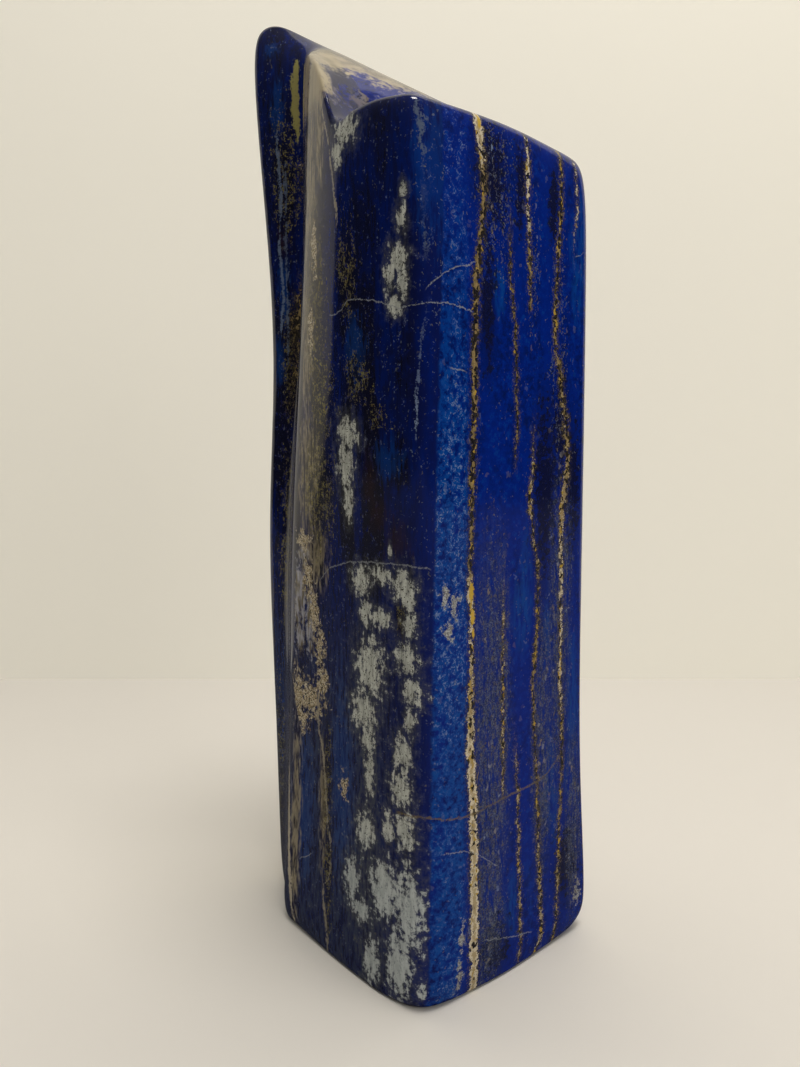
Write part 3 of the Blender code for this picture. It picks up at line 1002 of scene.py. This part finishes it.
def dim_in_mirrors(material, share):
    """Darkens a surface of the stage where the polished stone mirrors it."""
    w = Weave(material.node_tree)
    mirrored = w.times(w.add("ShaderNodeLightPath").outputs["Is Glossy Ray"], share)
    dark = w.fill(w.add("ShaderNodeBsdfDiffuse"), color=(0, 0, 0))[0]
    wrap_shader(material, mirrored, dark)


def glow(material, colour, strength):
    """Gives a surface of the stage a faint light of its own, which isn't sampled as a lamp."""
    shader = material.node_tree.nodes["Principled BSDF"]
    Weave(material.node_tree).fill(shader, emission_color=colour, emission_strength=strength)
    material.cycles.emission_sampling = "NONE"


def far_away(material):
    """The strength of the floor's own light: none near the stone, then rising."""
    w = Weave(material.node_tree)
    distance = w.vector("LENGTH", w.add("ShaderNodeTexCoord").outputs["Object"])
    return w.times(w.step(distance, FAR_FROM, FAR_TO), FAR_GLOW)


def clear_from_behind(material):
    """Lets a view from behind the wall see through it."""
    w = Weave(material.node_tree)
    behind = w.add("ShaderNodeNewGeometry").outputs["Backfacing"]
    wrap_shader(material, behind, w.add("ShaderNodeBsdfTransparent").outputs[0])


def slab(name, corners, material):
    """A flat four-cornered surface of the stage."""
    mesh = bpy.data.meshes.new(name)
    mesh.from_pydata(corners, [], [(0, 1, 2, 3)])
    mesh.materials.append(material)
    placed(name, mesh)


def lamp(name, place, aim, size, power):
    """A soft rectangular lamp that points at a place."""
    data = bpy.data.lights.new(name, "AREA")
    data.shape = "RECTANGLE"
    data.size, data.size_y = size
    data.energy = power
    data.color = LAMP_COLOUR
    light = placed(name, data)
    light.location = place
    light.rotation_euler = (Vector(aim) - Vector(place)).to_track_quat("-Z", "Y").to_euler()
    return light


def surroundings():
    """A pale background for the camera, and a dim room for the reflections."""
    world = bpy.data.worlds.new("room")
    world.use_nodes = True
    bpy.context.scene.world = world
    w = Weave(world.node_tree)
    direction = w.split(w.add("ShaderNodeTexCoord").outputs["Generated"])
    height = w.step(direction["Z"], 0.1, 0.9)
    room = w.mix(height, ROOM_LOW, ROOM_HIGH)
    mirrored = w.mix(height, MIRRORED_LOW, MIRRORED_HIGH)
    path = w.add("ShaderNodeLightPath").outputs
    room = w.mix(path["Is Glossy Ray"], room, mirrored)
    seen = w.mix(path["Is Camera Ray"], room, BEYOND)
    w.fill(world.node_tree.nodes["Background"], color=seen, strength=1)


def photo_camera():
    """The camera, at the photograph's place and angle."""
    data = bpy.data.cameras.new("photo_camera")
    data.sensor_fit = "AUTO"
    data.sensor_width = SENSOR
    data.lens = SENSOR * FOCAL_PIXELS / PHOTO_LONG_SIDE
    camera = placed("photo_camera", data)
    camera.location = CAMERA_PLACE
    camera.rotation_euler = (CAMERA_TILT, 0, 0)
    bpy.context.scene.camera = camera


class LAPIS_OT_stage(bpy.types.Operator):
    """Builds the floor, the wall, the lamps and the camera."""

    bl_idname = "lapis.stage"
    bl_label = "Plain Studio"

    def execute(self, context):
        settings = context.scene.lapis_stage
        floor = plain_material("pale_floor", settings.floor, FLOOR_ROUGHNESS)
        glow(floor, settings.floor, far_away(floor))
        dim_in_mirrors(floor, FLOOR_DIMMED)
        half = FLOOR_HALF
        slab("floor", ((-half, -half, 0), (half, -half, 0), (half, half, 0), (-half, half, 0)), floor)
        wall = plain_material("pale_wall", settings.backdrop, WALL_ROUGHNESS)
        glow(wall, WALL_GLOW_COLOUR, WALL_GLOW)
        dim_in_mirrors(wall, WALL_DIMMED)
        clear_from_behind(wall)
        foot = ((-WALL_HALF, WALL_Y, 0), (WALL_HALF, WALL_Y, 0))
        slab("wall", (*foot, (WALL_HALF, WALL_Y, WALL_TOP), (-WALL_HALF, WALL_Y, WALL_TOP)), wall)
        for name, place, aim, size, power, mirrored in LAMPS:
            light = lamp(name, place, aim, size, getattr(settings, power))
            light.visible_glossy = mirrored
        surroundings()
        photo_camera()
        context.scene.view_settings.view_transform = "Standard"
        return {"FINISHED"}


class LAPIS_PT_panel(bpy.types.Panel):
    """The sidebar panel that lists the builders and their settings."""

    bl_idname = "LAPIS_PT_panel"
    bl_label = "Lapis Lazuli Freeform"
    bl_space_type = "VIEW_3D"
    bl_region_type = "UI"
    bl_category = "Lapis"

    def draw(self, context):
        layout = self.layout
        for operator in BUILDERS:
            layout.operator(operator.bl_idname)
        for group in (context.scene.lapis_stone, context.scene.lapis_colours, context.scene.lapis_stage):
            box = layout.box()
            for name in group.__annotations__:
                box.prop(group, name)


BUILDERS = (LAPIS_OT_stone, LAPIS_OT_stage)
GROUPS = {"lapis_stone": StoneSettings, "lapis_colours": StoneColours, "lapis_stage": StageSettings}


def register():
    for group in GROUPS.values():
        bpy.utils.register_class(group)
    for name, group in GROUPS.items():
        setattr(bpy.types.Scene, name, PointerProperty(type=group))
    for operator in BUILDERS:
        bpy.utils.register_class(operator)
    bpy.utils.register_class(LAPIS_PT_panel)


def unregister():
    bpy.utils.unregister_class(LAPIS_PT_panel)
    for operator in reversed(BUILDERS):
        bpy.utils.unregister_class(operator)
    for name in reversed(GROUPS):
        delattr(bpy.types.Scene, name)
        bpy.utils.unregister_class(GROUPS[name])


def main():
    register()
    bpy.ops.lapis.stone()
    bpy.ops.lapis.stage()


if __name__ == "__main__":
    main()
